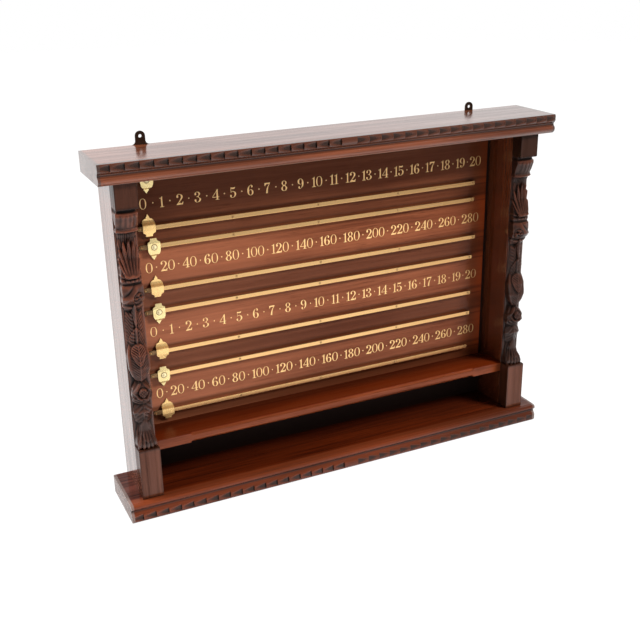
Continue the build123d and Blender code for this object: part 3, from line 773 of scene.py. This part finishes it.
def drop_leaf_relief(u, v, across, height):
    dish = -1.7 * (1 - abs(u) ** 3) * step(0, 0.25, v) * step(0.95, 0.7, v)
    rim = 1.1 * hump(abs(u) - 0.88, 0.09) + 0.9 * hump(across, 1.3)
    veins = 0.5 * wave(height - abs(across) * 0.9, 5.5) * step(1.5, 3.5, abs(across))
    barbs = 0.5 * wave(height - abs(across) * 1.1, 6.5)
    small_leaf = (2.2 + barbs) * leaf_mask(across, 84 - height, 15, 48)
    return dish + rim + veins * step(0.9, 0.6, abs(u)) + small_leaf


def bud_relief(u, v, across, height):
    up = height - 29
    radius = np.hypot(across, up)
    hatch = abs(np.sin(pi * (across + up) / 5.6)) * abs(np.sin(pi * (across - up) / 5.6))
    knob = (2.8 * hatch + 0.4) * step(9.2, 7.6, radius) - 2.4 * hump(radius - 10.2, 1.1)
    diamond = abs(across) + abs(up) * 0.8
    border = (1.2 * hump(diamond - 17, 2.2) - 0.8 * hump(diamond - 13.2, 1.2)) * step(9.5, 12, radius)
    swags = 1.5 * wave(radius - 9, 6) * step(9, 11.5, radius) * step(0.42, 0.3, v)
    return knob + border + swags - 2.2 * step(20, 23, diamond) * step(0.45, 0.6, v)


def spray_relief(u, v, across, height):
    lay = height - 30 + abs(across) * 0.9
    blades = 0.5 * wave(lay, 10) + 0.15 * wave(lay, 2.6)
    return blades * step(0.5, 4, abs(across)) + 0.8 * hump(across, 2.2) - 1.4 * hump(v - 0.95, 0.08)


def acanthus_relief(u, v, across, height):
    fan = across / (70 - height)
    lobe = np.clip(np.round(fan / 0.125), -2, 2)
    q = (fan - lobe * 0.125) / 0.125
    blade = 1.6 * np.maximum(np.cos(pi * q), 0) ** 0.8 - 0.9 + 0.5 * hump(q, 0.14)
    curl = 1.8 * hump(v - 0.16, 0.14) - 0.9 * hump(v - 0.46, 0.14) * step(3, 7, abs(across))
    notch = -3 * step(0, 0.05, 0.1 * abs(2 * q) ** 2 - v)
    heart = 1.4 * leaf_mask(across, height - 14, 10, 50)
    return blade * step(0.62, 0.4, v) + curl + notch + heart


RELIEFS = dict(zip(CARVED_DROP, (
    capital_relief, astragal_relief, neck_relief, husk_relief, rosette_relief, long_leaf_relief,
    drop_leaf_relief, bud_relief, spray_relief, acanthus_relief)))
CARVING_ROWS, CARVING_COLUMNS = 620, 150
CLOSE_LOOK, WIDE_LOOK = 5, 40  # rounds of smoothing that a place is compared with, to find the hollows
CLOSE_DEPTH, WIDE_DEPTH = 4.5 * MM, 3.0 * MM  # below the smoothed surface, for a full hollow
HAND_CUT = 0.2 * MM  # unevenness of the carving
CARVING_DEPTH = 1.5  # times the reliefs above
CARVED_CREASE = 75  # degrees from which an edge is shaded sharp


def section_reach(angle, half_width, edge, crest):
    """Distance from the middle of the ground to the outline of a D-shaped section, at an angle."""
    across, out = np.cos(angle), np.sin(angle)
    round_part = np.maximum(crest - edge, 1e-6) / half_width**2 * across**2
    front = (np.sqrt(out**2 + 4 * round_part * crest) - out) / np.maximum(2 * round_part, 1e-9)
    front = np.where(round_part < 1e-7, crest / np.maximum(out, 1e-6), front)
    side = half_width / np.maximum(abs(across), 1e-6)
    return np.minimum(front, side)


def uneven(shape):
    """Gentle unevenness over a grid, from waves in random directions."""
    waves = 40
    chance = np.random.default_rng(5)
    up, around = np.meshgrid(np.linspace(0, 12, shape[0]), np.linspace(0, 1.6, shape[1]), indexing="ij")
    field = np.zeros(shape)
    for _ in range(waves):
        direction, phase = chance.normal(0, 9, 2), chance.uniform(0, 2 * pi)
        field += np.cos(direction[0] * up + direction[1] * around + phase)
    return field / np.sqrt(waves / 2)


def carved_surface(tall):
    """Reach of the carving from the middle of its ground, over height and angle, and its hollows."""
    up = np.linspace(0, 1, CARVING_ROWS)[:, None]
    angle = np.linspace(0, pi, CARVING_COLUMNS)[None, :]
    reach = section_reach(angle + 0 * up, 0.92 * STILE_WIDTH / 2, CARVING_GROUND, CARVING_GROUND)
    for name, stations in CARVED_DROP.items():
        heights, widths, edges, crests = np.array(stations).T / 100
        low, high = heights[0], heights[-1]
        inside = (up >= low) & (up <= high)
        half_width = np.interp(up, heights, widths) * STILE_WIDTH / 2
        edge = np.interp(up, heights, edges) * STILE_PROJECTION
        crest = np.interp(up, heights, crests) * STILE_PROJECTION
        plain = section_reach(angle, half_width, edge, crest)
        u = np.clip(plain * np.cos(angle) / half_width, -1, 1)
        v = (up - low) / (high - low)
        relief = RELIEFS[name](u, v, u * half_width / MM, v * (high - low) * tall / MM) * CARVING_DEPTH * MM
        reach = np.where(inside, np.maximum(reach, plain + relief * np.sin(angle) ** 0.5), reach)
    reach += HAND_CUT * uneven(reach.shape)
    for _ in range(2):
        reach[1:-1] = (reach[:-2] + 2 * reach[1:-1] + reach[2:]) / 4
    local_mean = reach.copy()
    for turn in range(WIDE_LOOK):
        for field in (local_mean, local_mean.T):
            field[1:-1] = (field[:-2] + field[1:-1] + field[2:]) / 3
        if turn + 1 == CLOSE_LOOK:
            close_mean = local_mean.copy()
    hollow = 0.5 + (local_mean - reach) / WIDE_DEPTH + (close_mean - reach) / CLOSE_DEPTH
    return reach, np.clip(hollow, 0, 1)


def carved_pilaster(hand, material):
    """Pilaster with its whole carving. The right-hand one mirrors the left-hand one."""
    low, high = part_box(f"pilaster_{hand}")
    middle = (low.x + high.x) / 2
    ground = high.y
    reach, hollow = carved_surface(high.z - low.z)
    side = 1 if hand == "left" else -1
    angle = np.linspace(0, pi, CARVING_COLUMNS)[None, :]
    x = middle + side * np.clip(reach * np.cos(angle), -STILE_WIDTH / 2, STILE_WIDTH / 2)
    y = np.maximum(ground - reach * np.sin(angle), ground - STILE_PROJECTION)
    z = low.z + np.linspace(0, 1, CARVING_ROWS)[:, None] * (high.z - low.z) + 0 * x
    points = np.stack([x, y, z], axis=-1).reshape(-1, 3)
    corners = np.arange(len(points)).reshape(CARVING_ROWS, CARVING_COLUMNS)
    following = np.roll(corners, -1, axis=1)
    faces = np.stack([corners[:-1], following[:-1], following[1:], corners[1:]], axis=-1)
    faces = [*faces.reshape(-1, 4).tolist(), corners[0].tolist(), corners[-1].tolist()]
    mesh = bpy.data.meshes.new(f"pilaster_{hand}_carving")
    mesh.from_pydata(points.tolist(), [], faces)
    attribute = mesh.attributes.new("hollow", "FLOAT", "POINT")
    attribute.data.foreach_set("value", hollow.reshape(-1))
    shape = bmesh.new()
    shape.from_mesh(mesh)
    bmesh.ops.recalc_face_normals(shape, faces=shape.faces)
    shape.to_mesh(mesh)
    shape.free()
    mesh.shade_smooth()
    mesh.set_sharp_from_angle(angle=radians(CARVED_CREASE))
    new_piece(f"pilaster_{hand}_carving", mesh, "cabinet", "carving", material, f"pilaster_{hand}")


# Figures, in hundredths of their height: closed outlines of smooth points, and of corners, which have a
# third item. The outlines after the first of a figure are its holes.
def ring(x, y, across, height):
    """Oval outline round x, y, of half its width and height."""
    return [(x, y + height), (x + across, y), (x, y - height), (x - across, y)]


FIGURES = {
    "0": [ring(34, 50, 33, 50), ring(34, 50, 19.5, 45)],
    "1": [[(4, 0, 1), (46, 0, 1), (46, 5, 1), (32.2, 7.5, 1), (32.2, 100, 1), (28, 100, 1), (20, 90),
          (3, 85, 1), (3, 80, 1), (18.2, 80, 1), (18.2, 7.5, 1), (4, 5, 1)]],
    "2": [[(4, 74), (12, 94), (34, 100), (64, 73), (50, 46), (22, 17, 1), (34, 19), (50, 14), (62, 27, 1),
          (67, 27, 1), (62, 0, 1), (3, 0, 1), (3, 5, 1), (38, 50), (47, 73), (32, 94.5), (20, 88),
          (23.5, 75), (14, 64)]],
    "3": [[(4, 77), (29, 100), (58.5, 76), (42, 53.5), (65, 27), (29, 0), (6, 11), (2, 22), (11, 32),
          (20, 23), (18, 11), (29, 5), (47.5, 27), (34, 48.5), (20, 51, 1), (20, 56, 1), (33, 58.5),
          (42.5, 76), (29, 95), (18, 88), (21.5, 78), (13, 67)]],
    "4": [[(30, 0, 1), (69, 0, 1), (69, 5, 1), (57.5, 6.5, 1), (57.5, 23.5, 1), (69, 23.5, 1),
          (69, 30.5, 1), (57.5, 30.5, 1), (57.5, 100, 1), (49, 100, 1), (1, 30.5, 1), (1, 23.5, 1),
          (41.5, 23.5, 1), (41.5, 6.5, 1), (30, 5, 1)], [(41.5, 30.5, 1), (41.5, 78, 1), (9.5, 30.5, 1)]],
    "5": [[(10, 100, 1), (33, 96.5), (57, 100, 1), (50, 85), (34, 81), (16, 85.5, 1), (15, 59, 1),
          (34, 64), (64, 33), (28, 0), (6, 11), (2, 22), (11, 31), (20, 22), (17, 11), (27, 5), (46.5, 32),
          (30, 58.5), (15.5, 50, 1), (10, 50, 1)]],
    "6": [[(58, 82), (54, 94), (38, 100), (2, 45), (33, 0), (65, 29), (37, 58), (20, 49, 1), (24, 78),
          (37.5, 94.5), (43, 90), (41, 81), (49, 73)], ring(34, 29, 13.5, 23.5)],
    "7": [[(5, 100, 1), (62, 100, 1), (62, 93, 1), (42, 52), (36, 0, 1), (17, 0, 1), (26, 45), (50, 85, 1),
          (20, 83), (10.5, 70, 1), (5, 70, 1)]],
    "8": [[(33, 100), (60, 77), (47, 54), (65, 27), (33, 0), (2, 27), (20, 53), (7, 77)],
          ring(33.5, 76.5, 12, 18.5), ring(33.5, 27, 13.5, 22)],
}
FIGURES["9"] = [[(66 - point[0], 100 - point[1], *point[2:]) for point in points] for points in FIGURES["6"]]
FIGURE_WIDTHS = {"1": 0.43}
FULL_FIGURE_WIDTH = 0.68


def label_width(label):
    """Width of a label, in metres."""
    widths = [FIGURE_WIDTHS.get(figure, FULL_FIGURE_WIDTH) for figure in label]
    return (sum(widths) + FIGURE_GAP * (len(label) - 1)) * FIGURE_HEIGHT


def row_labels(row):
    """Labels of a row, each with the place of its middle."""
    if row in "13":
        places = [SINGLES_START + SINGLES_PITCH * min(number, 10) + TENS_PITCH * max(number - 10, 0)
                  for number in range(21)]
        return [(str(number), place) for number, place in enumerate(places)]
    labels = [str(number) for number in range(0, 281, 20)]
    widths = [label_width(label) for label in labels]
    run = TWENTIES_END - TWENTIES_START
    gap = (run - sum(widths) + (widths[0] + widths[-1]) / 2) / (len(labels) - 1)
    steps = [(first + second) / 2 + gap for first, second in zip(widths, widths[1:])]
    return list(zip(labels, accumulate(steps, initial=TWENTIES_START)))


def outline(curve, points, x, y):
    """Closed spline through the points of an outline, whose lower left corner is at x, y."""
    spline = curve.splines.new("BEZIER")
    spline.bezier_points.add(len(points) - 1)
    spline.use_cyclic_u = True
    for knot, point in zip(spline.bezier_points, points):
        knot.co = (x + point[0] / 100 * FIGURE_HEIGHT, y + point[1] / 100 * FIGURE_HEIGHT, 0)
        handle = "VECTOR" if len(point) == 3 else "AUTO"
        knot.handle_left_type = knot.handle_right_type = handle


def painted_numbers(row, material):
    """One row of numbers, with a dot between each two labels."""
    curve = bpy.data.curves.new(f"numbers_row_{row}", "CURVE")
    curve.dimensions = "2D"
    curve.fill_mode = "BOTH"
    curve.resolution_u = 5
    curve.extrude = GILT_THICKNESS / 2
    curve.offset = -STROKE_THINNING[row]
    labels = row_labels(row)
    base = ROW_LEVELS[row] - FIGURE_HEIGHT / 2
    for label, middle in labels:
        x = middle - label_width(label) / 2
        for figure in label:
            for points in FIGURES[figure]:
                outline(curve, points, x, base)
            x += (FIGURE_WIDTHS.get(figure, FULL_FIGURE_WIDTH) + FIGURE_GAP) * FIGURE_HEIGHT
    dot = 100 * DOT_RADIUS / FIGURE_HEIGHT
    for (first, start), (second, end) in zip(labels, labels[1:]):
        x = (start + label_width(first) / 2 + end - label_width(second) / 2) / 2
        outline(curve, ring(0, 50, dot, dot), x, base)
    mesh = finished_mesh(in_scene("flat_numbers", curve), curve.name)
    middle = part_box("numbered_board")[0].y - GILT_THICKNESS / 2
    mesh.transform(Matrix.Translation((0, middle, 0)) @ Matrix.Rotation(radians(90), 4, "X"))
    new_piece(f"numbers_row_{row}", mesh, "cabinet", "numerals", material)


def set_camera():
    """Camera of the photograph."""
    camera = in_scene("camera", bpy.data.cameras.new("camera"))
    camera.data.lens = FOCAL_LENGTH
    camera.data.sensor_width = 36
    camera.matrix_world = (Matrix.Translation(CAMERA_PLACE)
                           @ Matrix.Rotation(radians(CAMERA_AZIMUTH), 4, "Z")
                           @ Matrix.Rotation(radians(90 - CAMERA_ELEVATION), 4, "X")
                           @ Matrix.Rotation(radians(CAMERA_ROLL), 4, "Z"))
    scene.camera = camera


def soft_light(name, place, target, size, power):
    """Rectangular lamp that shows neither to the camera nor in reflections."""
    lamp = bpy.data.lights.new(name, "AREA")
    lamp.shape = "RECTANGLE"
    lamp.size, lamp.size_y = size
    lamp.energy = power
    light = in_scene(name, lamp)
    light.visible_camera = light.visible_glossy = False
    direction = Vector(target) - Vector(place)
    light.matrix_world = Matrix.Translation(place) @ direction.to_track_quat("-Z", "Y").to_matrix().to_4x4()


def white_floor():
    """Floor that the camera sees as white with a faint shadow. In reflections it is white near the case and
    behind it, and dim further out in front."""
    finish = Finish("white floor")
    seen = finish.node("LightPath", output="Is Camera Ray")
    mirrored = finish.node("LightPath", output="Is Glossy Ray")
    near = finish.between(finish.axis("Y"), FLOOR_DIM_FROM, FLOOR_WHITE_FROM)
    away = finish.between(finish.axis("Y") ** 2 + finish.axis("X") ** 2, 1, 4)
    white = finish.node("Emission", None, {"Color": (1, 1, 1), "Strength": FLOOR_WHITE})
    dim = finish.node("Emission", None, {"Color": (1, 1, 1), "Strength": FLOOR_DIM})
    paint = finish.node("BsdfDiffuse", None, {"Color": FLOOR_PAINT})
    reflected = finish.node("MixShader", None, {0: near, 1: dim, 2: white})
    plain = finish.node("MixShader", None, {0: seen * (away * 0.14 + 0.86), 1: paint, 2: white})
    finish.node("OutputMaterial", None,
                {"Surface": finish.node("MixShader", None, {0: mirrored, 1: plain, 2: reflected})})
    shape = bmesh.new()
    bmesh.ops.create_circle(shape, cap_ends=True, segments=96, radius=FLOOR_RADIUS)
    floor = in_scene("floor", mesh_of(shape, "floor"))
    floor.data.materials.append(finish.material)


def white_room():
    """World that is white to the camera, and in reflections white behind the case and dimmer in front."""
    world = bpy.data.worlds.new("studio")
    scene.world = world
    finish = Finish("studio", world)
    direction = finish.node("TexCoord", output="Generated")
    behind = finish.between(finish.node("SeparateXYZ", None, {"Vector": direction}, "Y"), -0.1, 0.35)
    mirrored = finish.node("LightPath", output="Is Glossy Ray")
    seen = finish.node("LightPath", output="Is Camera Ray")
    reflected = behind * (1 - ROOM_DIM) + ROOM_DIM
    strength = seen + (1 - seen) * (mirrored * reflected + (1 - mirrored) * ROOM_LIGHT)
    finish.node("OutputWorld", None,
                {"Surface": finish.node("Background", None, {"Color": (1, 1, 1), "Strength": strength})})


def set_studio():
    """White surroundings for the camera and for reflections, and soft light on the object."""
    white_floor()
    white_room()
    for name, lamp in LAMPS.items():
        soft_light(name, *lamp)
    scene.view_settings.view_transform = "Standard"


set_camera()
set_studio()

rail_levels = [
    sum(corner.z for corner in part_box(f"rail_{row}_{place}")) / 2
    for row in ROW_LEVELS for place in ("upper", "lower")]
block_low, block_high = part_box("plinth_right")
cap_low, cap_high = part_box("cap_block_right")
ledge_low, ledge_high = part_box("ledge")
block_shade = partial(
    dirt_lines, (block_low.x + block_high.x) / 2, (block_high.x - block_low.x) / 2,
    (block_low.z, block_high.z, cap_low.z, cap_high.z))
# the last number of each moulding is the share of painted shade over its carved roll
crown_moulding = partial(dark_scoops, CROWN_ROLL, CROWN_ROLL_RADIUS, CROWN_COVE, (0.05, 0.03, 0.024), 0.62)
top_wood = mahogany(
    "cornice mahogany", "X", (0.036, 0.01, 0.005), (0.165, 0.044, 0.017), gloss=0.3,
    shade=crown_moulding, roughness=0.24)
base_moulding = partial(dark_scoops, BASE_ROLL, BASE_ROLL_RADIUS, BASE_COVE, (0.17, 0.125, 0.11), 0.2)
base_wood = mahogany(
    "base mahogany", "X", (0.022, 0.003, 0.001), (0.122, 0.017, 0.003), coat=0.8,
    shade=partial(dark_well, base_moulding, block_low.x, ledge_low.y, ledge_high.y), roughness=0.34)
upright = mahogany(
    "upright mahogany", "Z", (0.062, 0.013, 0.005), (0.128, 0.032, 0.011), gloss=0.5, roughness=0.2,
    coat=1.0, sheen=0.1)
block_wood = mahogany(
    "block mahogany", "Z", (0.048, 0.014, 0.006), (0.108, 0.032, 0.015), ribbon=0.45, shade=block_shade,
    roughness=0.34, coat=0.8)
ledge_wood = mahogany(
    "ledge mahogany", "X", (0.062, 0.01, 0.002), (0.19, 0.04, 0.01),
    shade=partial(worn_ledge, ledge_high.z, ledge_low.y, ledge_high.y), roughness=0.38, coat=0.6,
    sheen=0.26)
panel_wood = mahogany(
    "numbered board mahogany", "X", (0.098, 0.026, 0.011), (0.236, 0.07, 0.028), ribbon=0.55,
    shade=partial(lived_in, rail_levels), roughness=0.42, coat=0.35)
carving_wood = dark_carving()
pointer_brass = pointer_metal()
rail_brass = brass("drawn brass", (0.98, 0.6, 0.26), (0.09, 0.045, 0.02), 0.06, 0.26, drawn=True)
# painted shade: a darker copy of the rail brass, for the rail under the cornice
shaded_brass = brass("brass in the shade", (0.3, 0.15, 0.06), (0.12, 0.06, 0.03), 0.4, 0.4, drawn=True)
stud_brass = brass("stud brass", (1.0, 0.86, 0.5), (0.8, 0.56, 0.24), 0.1, 0.34, metal=0.45)
screw_brass = brass("old screw brass", (0.7, 0.42, 0.18), (0.16, 0.09, 0.04), 0.4, 0.35)
bronze = brass("dark bronze", (0.1, 0.065, 0.045), (0.04, 0.028, 0.02), 0.4, 0.32)

timber = {"top_board": top_wood, "base_board": base_wood, "ledge": ledge_wood}
for hand in ("left", "right"):
    timber[f"side_board_{hand}"] = upright
    timber[f"cap_block_{hand}"] = timber[f"plinth_{hand}"] = block_wood
for node, wood in timber.items():
    eased(node, f"{node}_timber", "mahogany", wood, ARRIS)
for hand in ("left", "right"):
    carved_pilaster(hand, carving_wood)
gilt = gilt_paint()
for row in ROW_LEVELS:
    painted_numbers(row, gilt)
    for place in ("upper", "lower"):
        bright_pointer(f"{row}_{place}", pointer_brass)

panel_middle = sum(corner.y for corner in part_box("back_panel")) / 2
finishes = {"back_panel": raw_wood(partial(stained_front, panel_middle)), "numbered_board": panel_wood,
            "rail": rail_brass, "stud": stud_brass, "hanger": bronze}
for node, piece in frame["nodes"].items():
    kind = next((kind for kind in finishes if node.startswith(kind)), None)
    if kind and not node.endswith("screws"):
        piece.material_slots[0].material = finishes[kind]
# painted shade: the top rail, under the cornice, takes the darker copy
frame["nodes"]["rail_1_upper"].material_slots[0].material = shaded_brass

screws = slotted_screws()
for seed, node in enumerate(("rail_screws", "back_screws", "hanger_screws")):
    real_screws(node, screw_brass, screws, seed)
